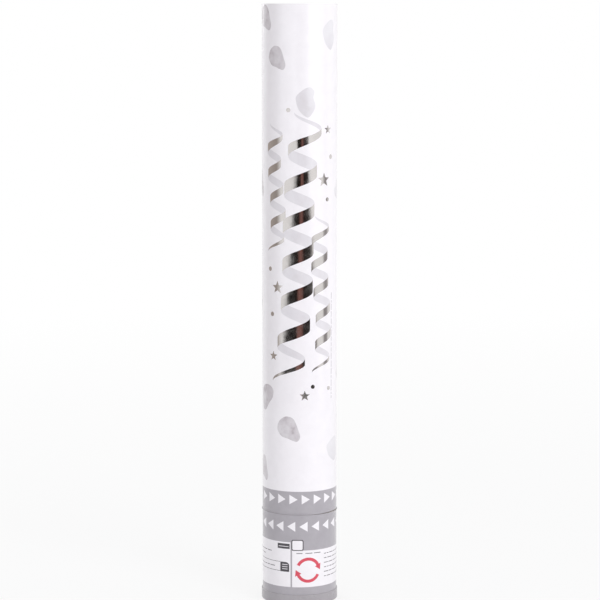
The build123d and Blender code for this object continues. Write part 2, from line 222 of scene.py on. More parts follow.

# Valve: the ringed plug that stops the neck, and the steel pin across it that climbs the cam's ramps.
# A coil spring wound from steel wire holds the plug down from the bulkhead.

# Bright drawn steel: die lines along the wire show as a fine broken grain of 0.5 mm.
steel, tree, place = new_material("Bright drawn steel")
grain = add(tree, "TexNoise", {"Vector": place, "Scale": 1 / (0.5 * MM), "Detail": 4})
shade(tree, {
    "Base Color": add(tree, "ValToRGB", {"Fac": grain}, stops=[(0.3, "#B4B4B6"), (0.7, "#9C9C9F")]),
    "Roughness": add(tree, "Math", {0: grain, 1: 0.35, 2: 0.11}, operation="MULTIPLY_ADD"),
    "Normal": add(tree, "Bump", {"Height": grain, "Distance": 0.008 * MM}),
    "Metallic": 1.0,
})
dress("cross_pin", steel)

SPRING_TURNS = 5
SPRING_WIRE = 1.2 * MM
WIRE_SIDES = 14
STEPS_A_TURN = 32
spring_low, spring_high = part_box("valve_spring")
spring_steps = SPRING_TURNS * STEPS_A_TURN
spring_rise = spring_high.z - spring_low.z - SPRING_WIRE
wire_start = Matrix.Translation((spring_high.x - SPRING_WIRE / 2, 0, spring_low.z + SPRING_WIRE / 2))
shape = bmesh.new()
bmesh.ops.create_circle(shape, segments=WIRE_SIDES, radius=SPRING_WIRE / 2, cap_ends=True,
                        matrix=wire_start @ Matrix.Rotation(pi / 2, 4, "X"))
bmesh.ops.spin(shape, geom=shape.faces[:] + shape.edges[:] + shape.verts[:], axis=(0, 0, 1),
               dvec=(0, 0, spring_rise / spring_steps), angle=2 * pi * SPRING_TURNS, steps=spring_steps)
bmesh.ops.recalc_face_normals(shape, faces=shape.faces)
spring = make_piece("valve_spring_wire", shape, "barrel", steel)
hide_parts("valve_spring")
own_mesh(spring)

# Card tubes: the barrel and the grip, spiral-wound from six plies of greyboard and cut to length.
# The grip's tube snaps over the coupling sleeve, and the barrel's tube is glued on it.
CARD_WALL = 1.7 * MM
CARD_EDGE = 0.15 * MM
PAPER = 0.12 * MM
skin_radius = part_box("barrel_wrap")[1].x
card_radius = skin_radius - PAPER
bore_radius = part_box("barrel_tube")[1].x - CARD_WALL

# Greyboard: pulp flecks about 0.7 mm long, plies that ring the cut ends, and a winding seam up the bore.
# A wave texture of scale 1 repeats after a tenth of pi.
PLY = 0.28 * MM
UNIT_WAVE = pi / 10
WINDING_PITCH = 85 * MM
WINDING_SEAM_SHARE = 0.008
greyboard, tree, place = new_material("Spiral-wound greyboard")
flecks = add(tree, "TexNoise", {"Vector": place, "Scale": 1 / (0.7 * MM), "Detail": 5, "Roughness": 0.7})
plies = add(tree, "TexWave", {
    "Vector": place, "Scale": UNIT_WAVE / PLY, "Distortion": 0.6, "Detail Scale": 0.5,
}, wave_type="RINGS", rings_direction="Z")
axes = add(tree, "SeparateXYZ", {"Vector": place}).outputs
turn = add(tree, "Math", {0: axes["Y"], 1: axes["X"]}, operation="ARCTAN2")
share = add(tree, "Math", {0: turn, 1: 1 / (2 * pi)}, operation="MULTIPLY")
climb = add(tree, "Math", {0: axes["Z"], 1: 1 / WINDING_PITCH, 2: share}, operation="MULTIPLY_ADD")
from_seam = add(tree, "Math", {0: climb, 1: 1.0}, operation="PINGPONG")
seam = add(tree, "MapRange", {
    "Value": from_seam, "From Max": WINDING_SEAM_SHARE, "To Min": 0.35, "To Max": 0.0,
})
dust = add(tree, "Math", {0: flecks, 1: 0.6, 2: seam}, operation="MULTIPLY_ADD")
pulp = add(tree, "Math", {0: plies, 1: 0.25, 2: dust}, operation="MULTIPLY_ADD")
shade(tree, {
    "Base Color": add(tree, "ValToRGB", {"Fac": pulp}, stops=[(0.2, "#D3CBC1"), (0.75, "#A2988D")]),
    "Normal": add(tree, "Bump", {"Height": pulp, "Distance": 0.06 * MM}),
    "Roughness": 0.88,
    "IOR": 1.45,
})

for body in ("grip", "barrel"):
    low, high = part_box(f"{body}_tube")
    shape = turned([
        (bore_radius, low.z + CARD_EDGE), (bore_radius + CARD_EDGE, low.z), (card_radius, low.z),
        (card_radius, high.z), (bore_radius + CARD_EDGE, high.z), (bore_radius, high.z - CARD_EDGE),
    ])
    tube = make_piece(f"{body}_card_tube", shape, body, greyboard)
    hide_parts(f"{body}_tube")

# Printed skins: coated art paper under a clear film, wound on the tubes and glued at a lap behind.
# The barrel's skin is white with a grey foot, and the grip's is grey. Their edges curl out and all but meet
# at the seam, which opens a little on the right. The end of the lap has a bare white margin.
LAP = 12.04 * MM
LAP_MARGIN = 0.5 * MM
LAP_RAMP = 5 * MM
LAP_RISE = PAPER + 0.01 * MM
COLUMN = 0.8 * MM
WHITE_EDGE = 77.4 * MM
LIP = 1.5 * MM
LIP_CUTS = 4
LIP_FLARES = {"grip": 0.4 * MM, "barrel": 0.2 * MM}
SEAM_CLOSING = 0.23 * MM
SEAM_OPENING = 0.26 * MM
SEAM_OPEN_AT = radians(80)
half_round = pi * skin_radius


def coated_paper(name, light, dark):
    """Paper under a clear film: a soft cloud in the sheet, and a fine orange peel in the film."""
    material, tree, place = new_material(name)
    cloud = add(tree, "TexNoise", {"Vector": place, "Scale": 1 / (7 * MM), "Detail": 4, "Roughness": 0.6})
    peel = add(tree, "TexNoise", {"Vector": place, "Scale": 1 / (1.4 * MM)})
    shade(tree, {
        "Base Color": add(tree, "ValToRGB", {"Fac": cloud}, stops=[(0.3, light), (0.7, dark)]),
        "Roughness": add(tree, "Math", {0: cloud, 1: 0.2, 2: 0.28}, operation="MULTIPLY_ADD"),
        "Normal": add(tree, "Bump", {"Height": peel, "Distance": 0.003 * MM}),
        "IOR": 1.5,
        "Specular IOR Level": 0.3,
        "Coat Weight": 0.8,
        "Coat Roughness": 0.08,
        "Coat IOR": 1.5,
    })
    return material


def roll(shape):
    """Bends a flat sheet round the tube: X runs round it from the front, Y stands out, and Z is its height.
    Where the sheet laps over its own start, it stands a paper's thickness higher. Its faces turn outwards."""
    for vert in shape.verts:
        turn = vert.co.x / skin_radius
        climb = min(max((vert.co.x - half_round) / LAP_RAMP + 1, 0), 1)
        reach = skin_radius + vert.co.y + LAP_RISE * climb
        vert.co = reach * sin(turn), -reach * cos(turn), vert.co.z
    shape.normal_update()
    bmesh.ops.recalc_face_normals(shape, faces=shape.faces)


white_paper = coated_paper("Film-laminated white paper", "#F4F1F6", "#F0EDF2")
grey_paper = coated_paper("Film-laminated grey print", "#ADA9B0", "#A6A2A9")
for body, inward in (("grip", -1), ("barrel", 1)):
    low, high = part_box(f"{body}_wrap")
    seam_edge = low.z if body == "barrel" else high.z
    length = 2 * half_round + LAP
    middle = Matrix.Translation((LAP / 2, -PAPER / 2, (low.z + high.z) / 2))
    shape = bmesh.new()
    bmesh.ops.create_cube(shape, size=1, matrix=middle @ Matrix.Diagonal((length, PAPER, high.z - low.z, 1)))
    along = [edge for edge in shape.edges if abs(edge.verts[0].co.x - edge.verts[1].co.x) > length / 2]
    bmesh.ops.subdivide_edges(shape, edges=along, cuts=ceil(length / COLUMN))
    margin = half_round + LAP - LAP_MARGIN
    lip_heights = [seam_edge + inward * LIP * cut / LIP_CUTS for cut in range(1, LIP_CUTS + 1)]
    cuts = [((0, 0, height), (0, 0, 1)) for height in (WHITE_EDGE, *lip_heights)]
    for spot, normal in (((margin, 0, 0), (1, 0, 0)), *cuts):
        bmesh.ops.bisect_plane(shape, geom=shape.verts[:] + shape.edges[:] + shape.faces[:],
                               plane_co=spot, plane_no=normal)
    for face in shape.faces:
        centre = face.calc_center_median()
        face.material_index = int(centre.z > WHITE_EDGE or centre.x > margin)
    for vert in shape.verts:
        near = max(0, 1 - abs(vert.co.z - seam_edge) / LIP)
        opening = SEAM_OPENING * max(0, cos(vert.co.x / skin_radius - SEAM_OPEN_AT)) ** 2
        vert.co.y += LIP_FLARES[body] * near ** 2
        vert.co.z -= inward * (SEAM_CLOSING - opening) * near
    roll(shape)
    skin = make_piece(f"{body}_paper_skin", shape, body, grey_paper, white_paper)
    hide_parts(f"{body}_wrap")

# Arrows: a row of white triangles on each side of the seam that show which way to twist.
# They are the bare white of the paper, left open in the grey print, nineteen to a turn.
# This print and the next ones are drawn flat in millimetres, and rolled on the skin.
INK = 0.03 * MM
STRIP = 1.2 * MM
ARROW_COUNT = 19
ARROW_REACH = 5.6
ARROW_ROWS = {"barrel": (68.8, 75.3, -9.25, 1), "grip": (50.2, 57.0, -12.8, -1)}


def around(degrees):
    """The distance round the skin from the front, in millimetres."""
    return radians(degrees) * skin_radius / MM


def flat_face(shape, outline):
    """A flat printed face from its points round the tube and up it."""
    return shape.faces.new([shape.verts.new((across, 0, up)) for across, up in outline])


def raise_print(shape, thickness):
    """Gives flat printed faces the ink's thickness, cuts them in upright strips and rolls them on the skin.
    What falls on the covered start of the sheet moves to the end that laps over it."""
    bmesh.ops.scale(shape, vec=(MM, MM, MM), verts=shape.verts)
    for face in shape.faces:
        if max(vert.co.x for vert in face.verts) < LAP - half_round:
            bmesh.ops.translate(shape, vec=(2 * half_round, 0, 0), verts=face.verts)
    grown = bmesh.ops.extrude_face_region(shape, geom=shape.faces[:])["geom"]
    raised = [part for part in grown if isinstance(part, bmesh.types.BMVert)]
    bmesh.ops.translate(shape, vec=(0, thickness, 0), verts=raised)
    reach = [vert.co.x for vert in shape.verts]
    for strip in range(ceil(min(reach) / STRIP), floor(max(reach) / STRIP) + 1):
        bmesh.ops.bisect_plane(shape, geom=shape.verts[:] + shape.edges[:] + shape.faces[:],
                               plane_co=(strip * STRIP, 0, 0), plane_no=(1, 0, 0))
    roll(shape)


for body, (bottom, top, first, way) in ARROW_ROWS.items():
    shape = bmesh.new()
    for number in range(ARROW_COUNT):
        middle = around(first + 360 / ARROW_COUNT * (number - ARROW_COUNT // 2))
        back, tip = middle - way * ARROW_REACH / 2, middle + way * ARROW_REACH / 2
        flat_face(shape, [(back, bottom), (tip, (bottom + top) / 2), (back, top)])
    raise_print(shape, INK)
    arrows = make_piece(f"{body}_arrows", shape, body, white_paper)

# Label: two white fields side by side at the foot of the grip, the left one taller, with a small tab between.
# Dark bars of uneven lengths fill its rows, and one grey row runs up the barrel. Two red arrows in a ring
# show the twist. All of it is printed with the sheet, and lies under the film.
LABEL_BOTTOM = 12.3
LABEL_FIELDS = ((-118, -13.9, 42.9), (-11.4, 112, 37.4))
TAB = (-12.4, 6.2, 37.2, 44.7)
TAB_FRAME = 0.6
TAB_CORNER = 1.2
DARK_BLOCK = (-35.6, -15.2, 38.3, 41.8)
DARK_BLOCK_LINE = (-33.6, -17, 39.7)
DARK_ARCH = (-30.8, -16, 22.6, 29.2)
DARK_ARCH_CORNER = 2.4
DARK_ARCH_LINES = [(-27.4, -18.6, 24.3 + 1.5 * number) for number in range(3)]
RULES = [(-112, -31.3, 22.8), (-112, -31.3, 29)]
RULE_HEIGHT = 0.28
HEADINGS = [(-4.6, 4.6, 35.2), (9.1, 20.4, 35.2), (22.8, 34.1, 35.2)]
BAR_ROWS = [(-112, -41, 35.5), (-112, -62, 32.6), (-112, -33, 25.7), (-112, -84, 18.4), (-112, -88, 15.6)]
BAR_ROWS += [(41, 106, 33.9 - 3.1 * number) for number in range(6)]
BAR_HEIGHT = 0.42
SIDE_ROW = (57, 139, 213)
BAR_LENGTHS = (1.6, 4.6)
BAR_GAP = 0.8
RING_MIDDLE = Vector((around(13.6), 0, 23.9))
RING_RADII = (6.5, 8.6)
RING_SWEEP = radians(128)
RING_STEPS = 20
RING_HEAD = (5.2, 9.9, 3.9)


def flat_box(shape, left, right, bottom, top):
    """A flat printed rectangle between two bearings and two heights."""
    start, end = around(left), around(right)
    return flat_face(shape, [(start, bottom), (end, bottom), (end, top), (start, top)])


def bar_spans(start, stop):
    """The ends of bars of random lengths that fill a row."""
    spans = []
    while start + BAR_LENGTHS[1] < stop:
        end = start + lengths.uniform(*BAR_LENGTHS)
        spans.append((start, end))
        start = end + BAR_GAP
    return spans


shape = bmesh.new()
for left, right, top in LABEL_FIELDS:
    flat_box(shape, left, right, LABEL_BOTTOM, top)
raise_print(shape, INK)
fields = make_piece("label_fields", shape, "grip", white_paper)

dark_print = coated_paper("Film-laminated dark grey print", "#454148", "#3E3A41")
lengths = Random(5)
shape = bmesh.new()
flat_box(shape, *DARK_BLOCK)
arch = flat_box(shape, *DARK_ARCH)
arch_corner = max(arch.verts, key=lambda vert: vert.co.x + vert.co.z)
bmesh.ops.bevel(shape, geom=[arch_corner], offset=DARK_ARCH_CORNER, affect="VERTICES", segments=6,
                profile=0.5, material=-1)
for left, right, bottom in RULES:
    flat_box(shape, left, right, bottom, bottom + RULE_HEIGHT)
for left, right, bottom in HEADINGS:
    flat_box(shape, left, right, bottom, bottom + BAR_HEIGHT)
tab = flat_box(shape, *TAB)
bmesh.ops.bevel(shape, geom=tab.verts[:], offset=TAB_CORNER, affect="VERTICES", segments=4, profile=0.5,
                material=-1)
for left, right, bottom in BAR_ROWS:
    top = bottom + BAR_HEIGHT
    for start, end in bar_spans(around(left), around(right)):
        flat_face(shape, [(start, bottom), (end, bottom), (end, top), (start, top)])
raise_print(shape, 2 * INK)
small_print = make_piece("label_small_print", shape, "grip", dark_print)

shape = bmesh.new()
left = around(SIDE_ROW[0])
right = left + BAR_HEIGHT
for start, end in bar_spans(*SIDE_ROW[1:]):
    flat_face(shape, [(left, start), (right, start), (right, end), (left, end)])
raise_print(shape, INK)
side_print = make_piece("barrel_small_print", shape, "barrel", grey_paper)

shape = bmesh.new()
left, right, bottom, top = TAB
edge = TAB_FRAME / around(1)
inside = flat_box(shape, left + edge, right - edge, bottom + TAB_FRAME, top - TAB_FRAME)
bmesh.ops.bevel(shape, geom=inside.verts[:], offset=TAB_CORNER - TAB_FRAME / 2, affect="VERTICES", segments=4,
                profile=0.5, material=-1)
for left, right, bottom in (DARK_BLOCK_LINE, *DARK_ARCH_LINES):
    flat_box(shape, left, right, bottom, bottom + BAR_HEIGHT)
raise_print(shape, 3 * INK)
tab_face = make_piece("label_tab", shape, "grip", white_paper)

red_print = coated_paper("Film-laminated red print", "#D9495D", "#D14156")
shape = bmesh.new()
head_inner, head_outer, head_length = RING_HEAD
head_middle = (head_inner + head_outer) / 2
for start in (-RING_SWEEP / 2, pi - RING_SWEEP / 2):
    outward = Vector((sin(start), 0, cos(start)))
    ends = [shape.verts.new(RING_MIDDLE + reach * outward) for reach in RING_RADII]
    band = bmesh.ops.spin(shape, geom=[*ends, shape.edges.new(ends)], cent=RING_MIDDLE, axis=(0, 1, 0),
                          angle=RING_SWEEP, steps=RING_STEPS)["geom_last"]
    neck = [part for part in band if isinstance(part, bmesh.types.BMVert)]
    neck.sort(key=lambda vert: (vert.co - RING_MIDDLE).length)
    end = start + RING_SWEEP
    outward, ahead = Vector((sin(end), 0, cos(end))), Vector((cos(end), 0, -sin(end)))
    barbs = [shape.verts.new(RING_MIDDLE + reach * outward) for reach in (head_inner, head_outer)]
    tip = shape.verts.new(RING_MIDDLE + head_middle * outward + head_length * ahead)
    shape.faces.new([barbs[0], *neck, barbs[1], tip])
raise_print(shape, 2 * INK)
ring = make_piece("twist_ring", shape, "grip", red_print)

# Petals: a scatter of printed petals round the barrel, grey ones and pale ones with a fold down them.
# They are printed with the rest of the sheet, and repeat what the popper throws.
PETAL_INK = 0.02 * MM
PETAL_STEPS = 5
HANDLE_PARTS = 6
SHIELD_SHARES = [(-0.03, 0.94), (0.5, 1), (0.88, 0.73), (0.79, 0.31), (1, -0.22), (0.71, -0.69), (0.18, -1),
                 (-0.65, -0.53), (-1, 0.21), (-0.77, 0.57)]
DROP_SHARES = [(-0.87, 0.48), (-0.54, 0.83), (-0.08, 1), (0.48, 0.78), (0.86, -0.1), (1, -0.64), (0.76, -1),
               (0.36, -0.93), (-0.02, -0.78), (-0.6, -0.6), (-0.97, -0.08)]
# Each has its bearing and height, width and length, outline, paleness, 1 for a fold, and any lean.
# A negative width mirrors the outline.
FRONT_PETALS = [
    (-64, 391, 14, 16.5, DROP_SHARES, 0, 0), (-37.4, 364.9, 13.8, 15.6, DROP_SHARES, 0, 0),
    (9.4, 335.9, 13.2, 19.5, SHIELD_SHARES, 1, 1), (51, 379.7, 11.8, 19.5, SHIELD_SHARES, 3, 0),
    (-61.5, 140.4, -18, 14.5, DROP_SHARES, 0.1, 0, 35), (-17.7, 119.7, 16.2, 16.7, DROP_SHARES, 0.15, 0),
    (63.5, 104.2, 15, 16.5, SHIELD_SHARES, 3, 0), (-70.5, 91.3, 11, 17, DROP_SHARES, 0.25, 0),
    (-86, 282, 13, 17, DROP_SHARES, 0, 0),
]
TIP_SHADE = 0.7
# The petals behind spread by the golden share from one bearing over a span, with a skip at the lap's end.
BACK_COUNT = 20
BACK_SPAN = (84, 158, 34)
BACK_LAP_SHARE = 0.67
BACK_START = 2.6
BACK_FOOT = 96
BACK_STEP = 15.2
BACK_SIZE = (13.5, 17.5)
GOLDEN_SHARE = 0.618
TURN_STEP = 71


def smooth_loop(points, steps):
    """A closed curve through a few points. A handle is a sixth of the line between its neighbours."""
    loop = []
    for number in range(len(points)):
        near = [Vector(points[(number + shift) % len(points)]) for shift in (-1, 0, 1, 2)]
        before, here, there, beyond = near
        leave = here + (there - before) / HANDLE_PARTS
        arrive = there - (beyond - here) / HANDLE_PARTS
        loop += interpolate_bezier(here, leave, arrive, there, steps + 1)[:-1]
    return loop


# Petal print: grey ink under the film, in soft patches. Pale petals have a lighter side past a fold, and
# darken to the tip.
petal_print, tree, place = new_material("Film-laminated petal print")
petal_place = add(tree, "SeparateXYZ", {"Vector": add(tree, "UVMap", {}, uv_map="petal")}).outputs
patch = add(tree, "TexNoise", {"Vector": place, "Scale": 1 / (6 * MM), "Detail": 3})
wave = add(tree, "Math", {0: patch, 1: 0.9, 2: petal_place["X"]}, operation="MULTIPLY_ADD")
fold = add(tree, "MapRange", {
    "Value": wave, "From Min": 0.55, "From Max": 0.85, "To Min": 0.3, "To Max": 0.6,
})
paleness = add(tree, "Math", {0: fold, 1: petal_place["Y"]}, operation="MULTIPLY")
tone = add(tree, "Math", {0: patch, 1: 0.5, 2: paleness}, operation="MULTIPLY_ADD")
shade(tree, {
    "Base Color": add(tree, "ValToRGB", {"Fac": tone}, stops=[
        (0.18, "#B2AAB0"), (0.23, "#C8C2C8"), (0.34, "#D6D2D7"), (0.55, "#DEDBE1"), (0.95, "#E6E4E9"),
    ]),
    "Normal": add(tree, "Bump", {"Height": patch, "Distance": 0.01 * MM}),
    "Roughness": 0.4,
    "IOR": 1.5,
    "Specular IOR Level": 0.3,
    "Coat Weight": 0.8,
    "Coat Roughness": 0.08,
    "Coat IOR": 1.5,
})


def add_petal(shape, across, height, width, length, form, pale, fold, lean=0):
    """One flat petal. Its UV map has the place across its fold, 0 with no fold, and how pale it is."""
    layer = shape.loops.layers.uv["petal"]
    shares = smooth_loop(form, PETAL_STEPS)
    leaned = Matrix.Rotation(radians(lean), 2)
    spots = [leaned @ Vector((width / 2 * side, length / 2 * rise)) for side, rise in shares]
    face = flat_face(shape, [(across + spot.x, height + spot.y) for spot in spots])
    for loop, share in zip(face.loops, shares):
        loop[layer].uv = fold * share.x, pale * (1 - TIP_SHADE * max(0, -share.y))


shape = bmesh.new()
shape.loops.layers.uv.new("petal")
for degrees, *petal in FRONT_PETALS:
    add_petal(shape, around(degrees), *petal)
for number in range(BACK_COUNT):
    share = GOLDEN_SHARE * (number + BACK_START) % 1
    degrees = BACK_SPAN[0] + BACK_SPAN[1] * share + BACK_SPAN[2] * (share > BACK_LAP_SHARE)
    look = ((SHIELD_SHARES, 1, 1), (DROP_SHARES, 0, 0))[number % 2]
    across = around(degrees - 360 * (degrees > 180))
    add_petal(shape, across, BACK_FOOT + BACK_STEP * number, *BACK_SIZE, *look, TURN_STEP * number)
raise_print(shape, PETAL_INK)
petals = make_piece("printed_petals", shape, "barrel", petal_print)

# Streamers: three curled party ribbons with stars and dots, stamped up the barrel's front in mirror foil.
# The foil is pressed on hot, so it lies flat on the film. The far side of a curl is in the petals' ink.
# Each has its foot and head, round the tube and up it, its swing, the rise of a turn, and its width.
FOIL_RISE = 0.045 * MM
CURL_STEPS = 14
STREAMERS = [(-9, 152, 7, 330, 10.5, 25.4, 8.2), (15, 158, 17, 262, 6.5, 17.3, 5.6),
             (-18, 238, -16, 322, 6, 16.8, 5.2)]
SWAY = 2.2
TAPER_TIP = 0.12
TAPER_RATE = 5
STARS = [(-15.5, 214, 4.4), (17.5, 285, 5.0), (-19, 168, 3.4), (3.5, 142, 3.6), (21, 318, 3.2)]
STAR_SPIKES = 5
STAR_WAIST_SHARE = 0.42
DOTS = [(-20, 196, 1.5), (20.5, 272, 1.4), (-7.5, 331, 1.5), (24, 300, 1.6), (9, 148, 1.4), (-22, 226, 1.5),
        (22, 146, 1.4)]
DOT_SIDES = 20

# Stamped foil: aluminium under clear lacquer, mirror-bright, with a faint waviness from the paper below it.
stamped_foil, tree, place = new_material("Hot-stamped silver foil")
haze = add(tree, "TexNoise", {"Vector": place, "Scale": 1 / (5 * MM), "Detail": 3})
ripple = add(tree, "TexNoise", {"Vector": place, "Scale": 1 / (3.5 * MM)})
shade(tree, {
    "Base Color": linear("#D6D2D0"),
    "Metallic": 1.0,
    "Roughness": add(tree, "Math", {0: haze, 1: 0.25, 2: 0.0}, operation="MULTIPLY_ADD"),
    "Normal": add(tree, "Bump", {"Height": ripple, "Distance": 0.012 * MM}),
})

fronts, backs = bmesh.new(), bmesh.new()
back_layer = backs.loops.layers.uv.new("petal")
for foot, start, head, end, swing, rise, width in STREAMERS:
    half_turns = floor(2 * (end - start) / rise)
    for half in range(half_turns):
        sheet = backs if half % 2 else fronts
        ribbon = bmesh.ops.create_grid(sheet, x_segments=CURL_STEPS, y_segments=1, size=0.5)
        for vert in ribbon["verts"]:
            turn = pi * (half + vert.co.x + 0.5)
            share = turn / (pi * half_turns)
            taper = min(1, TAPER_TIP + TAPER_RATE * min(share, 1 - share))
            axis = foot + (head - foot) * share + SWAY * sin(2 * pi * share)
            up = start + rise * turn / (2 * pi) + vert.co.y * width * taper
            vert.co = axis - swing * cos(turn), 0, up
for face in backs.faces:
    for loop in face.loops:
        loop[back_layer].uv = 0, 1
for across, up, reach in STARS:
    points = [(reach * (STAR_WAIST_SHARE if number % 2 else 1), pi * number / STAR_SPIKES)
              for number in range(2 * STAR_SPIKES)]
    flat_face(fronts, [(across + far * sin(turn), up + far * cos(turn)) for far, turn in points])
for across, up, reach in DOTS:
    turns = [2 * pi * number / DOT_SIDES for number in range(DOT_SIDES)]
    flat_face(fronts, [(across + reach * sin(turn), up + reach * cos(turn)) for turn in turns])
raise_print(backs, PETAL_INK)
raise_print(fronts, FOIL_RISE)
streamer_backs = make_piece("streamer_backs", backs, "barrel", petal_print)
streamers = make_piece("foil_streamers", fronts, "barrel", stamped_foil)

# Wad: the card disc and foam pad that the air drives up the barrel, under the petals.
# They are die-cut and glued to each other, and slide in the bore.
dress("pusher_card", greyboard)
foam_pad("pusher_cushion", "pusher_pad", "wad")

# Petal confetti: white and silver-grey tissue petals, die-cut, poured loose in four charges and pressed down.
# Each petal has curled as it came off the die, and lies as it fell, every other one turned over.
# At the wall it bends to the bore.
CHARGES = 4
PETALS_A_CHARGE = 64
TISSUE_SHARES = [(-0.65, 0.55), (0.05, 1), (0.7, 0.55), (1, -0.55), (0.65, -1), (-0.3, -0.72), (-1, -0.05)]
TISSUE_STEPS = 2
PETAL_HALF = (12 * MM, 15 * MM)
TISSUE = 0.1 * MM
CURLS = (6, 22)
TILT = 0.42
SCATTER = 9 * MM
WALL_GAP = 0.7 * MM
SILVER_SHARE = 0.25


def tissue(name, light, dark):
    """Soft matte tissue: long loose fibres of about 4 mm, and a faint crumple."""
    material, tree, place = new_material(name)
    fibres = add(tree, "TexNoise", {"Vector": place, "Scale": 1 / (4 * MM), "Detail": 5, "Roughness": 0.7})
    shade(tree, {
        "Base Color": add(tree, "ValToRGB", {"Fac": fibres}, stops=[(0.3, light), (0.7, dark)]),
        "Normal": add(tree, "Bump", {"Height": fibres, "Distance": 0.05 * MM}),
        "Roughness": 0.8,
        "IOR": 1.4,
    })
    return material


white_tissue = tissue("White tissue", "#F6F5F7", "#ECEAEE")
silver_tissue = tissue("Silver-grey tissue", "#CFCCD2", "#BFBCC2")
tissue_loop = smooth_loop(TISSUE_SHARES, TISSUE_STEPS)
fall = Random(11)
for charge in range(1, CHARGES + 1):
    node = f"confetti_stack_{charge}"
    low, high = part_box(node)
    shape = bmesh.new()
    for number in range(PETALS_A_CHARGE):
        first = len(shape.verts)
        outline = tissue_loop if number % 2 else tissue_loop[::-1]
        corners = [(side * PETAL_HALF[0], rise * PETAL_HALF[1], 0) for side, rise in outline]
        petal = shape.faces.new([shape.verts.new(corner) for corner in corners])
        petal.material_index = int(fall.random() < SILVER_SHARE)
        bmesh.ops.poke(shape, faces=[petal])
        shape.verts.ensure_lookup_table()
        verts = shape.verts[first:]
        across_curl, along_curl = fall.uniform(*CURLS), fall.uniform(-CURLS[0], CURLS[0])
        for vert in verts:
            vert.co.z = across_curl * vert.co.x ** 2 + along_curl * vert.co.y ** 2
        spot = fall.uniform(0, SCATTER), fall.uniform(0, 2 * pi)
        height = low.z + (high.z - low.z) * (number + 0.5) / PETALS_A_CHARGE
        fallen = Matrix.Translation((spot[0] * cos(spot[1]), spot[0] * sin(spot[1]), height))
        fallen @= Matrix.Rotation(fall.uniform(0, 2 * pi), 4, "Z")
        fallen @= Matrix.Rotation(fall.uniform(-TILT, TILT), 4, "X")
        fallen @= Matrix.Rotation(fall.uniform(-TILT, TILT), 4, "Y")
        fallen @= Matrix.Rotation(pi * (number % 2), 4, "X")
        bmesh.ops.transform(shape, matrix=fallen, verts=verts)
        for vert in verts:
            vert.co.xy *= min(1, (bore_radius - WALL_GAP) / vert.co.xy.length)
            vert.co.z = min(max(vert.co.z, low.z + TISSUE), high.z - 2 * TISSUE)
    grown = bmesh.ops.extrude_face_region(shape, geom=shape.faces[:])["geom"]
    raised = [part for part in grown if isinstance(part, bmesh.types.BMVert)]
    bmesh.ops.translate(shape, vec=(0, 0, TISSUE), verts=raised)
    confetti = make_piece(f"tissue_petals_{charge}", shape, f"petals_{charge}", white_tissue, silver_tissue)
    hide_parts(node)

# Muzzle lid: a greyboard disc pushed into the barrel just under its rim, with silver foil stuck over it.
# The foil is crumpled where it was pressed in, and its edge gathers in small pleats.
dress("muzzle_lid", greyboard)
FOIL_RINGS = 30
CRUMPLE_CELL = 12 * MM
CRUMPLE = 0.8 * MM
PLEATS = 46
PLEAT = 0.4 * MM
PLEAT_START_SHARE = 0.8
PLEAT_SWAY = 2
PLEAT_SWAYS = 5
FOIL = 0.05 * MM

# Household foil: bright and creased, a little hazed by handling.
creased_foil, tree, place = new_material("Creased aluminium foil")
haze = add(tree, "TexNoise", {"Vector": place, "Scale": 1 / (6 * MM), "Detail": 3})
crinkle = add(tree, "TexNoise", {"Vector": place, "Scale": 1 / (2.6 * MM), "Detail": 4, "Roughness": 0.65})
shade(tree, {
    "Base Color": linear("#DCDCDF"),
    "Metallic": 1.0,
    "Roughness": add(tree, "Math", {0: haze, 1: 0.25, 2: 0.04}, operation="MULTIPLY_ADD"),
    "Normal": add(tree, "Bump", {"Height": crinkle, "Distance": 0.12 * MM}),
})

foil_low, foil_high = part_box("lid_foil")
spoke = [(foil_high.x * ring / FOIL_RINGS, foil_low.z) for ring in range(FOIL_RINGS + 1)]
shape = turned(spoke, closed=False)
for vert in shape.verts:
    turn = atan2(vert.co.y, vert.co.x)
    rim = max(0, vert.co.xy.length / foil_high.x - PLEAT_START_SHARE) / (1 - PLEAT_START_SHARE)
    nearest, second = voronoi(vert.co / CRUMPLE_CELL)[0][:2]
    pleat = 0.5 + 0.5 * cos(PLEATS * turn + PLEAT_SWAY * sin(PLEAT_SWAYS * turn))
    vert.co.z += CRUMPLE * (second - nearest) * (1 - rim) + PLEAT * pleat * rim
shape.normal_update()
if sum(face.normal.z for face in shape.faces) < 0:
    bmesh.ops.reverse_faces(shape, faces=shape.faces[:])
bmesh.ops.solidify(shape, geom=shape.faces[:], thickness=FOIL)
foil = make_piece("lid_foil_face", shape, "lid", creased_foil, sharp=80)
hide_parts("lid_foil")

# Studio: a white floor in a white room, a soft key at the front right, and a glowing screen in front.
# The screen stands where the foil mirrors it and nothing but mirrors sees it, so its colours are painted
# reflections.
FLOOR_REACH = 60
FLOOR_DROP = 0.2 * MM
FLOOR_HOLE = 24 * MM
FLOOR_SIDES = 96
SHADOW_REACH = (0.3, 1.5)
SHADOW_VEIL = 0.8


def stage_piece(name, shape, material):
    """Makes a bmesh a piece of the set, which isn't part of the object."""
    mesh = bpy.data.meshes.new(name)
    shape.to_mesh(mesh)
    shape.free()
    mesh.materials.append(material)
    piece = bpy.data.objects.new(name, mesh)
    bpy.context.scene.collection.objects.link(piece)
    return piece


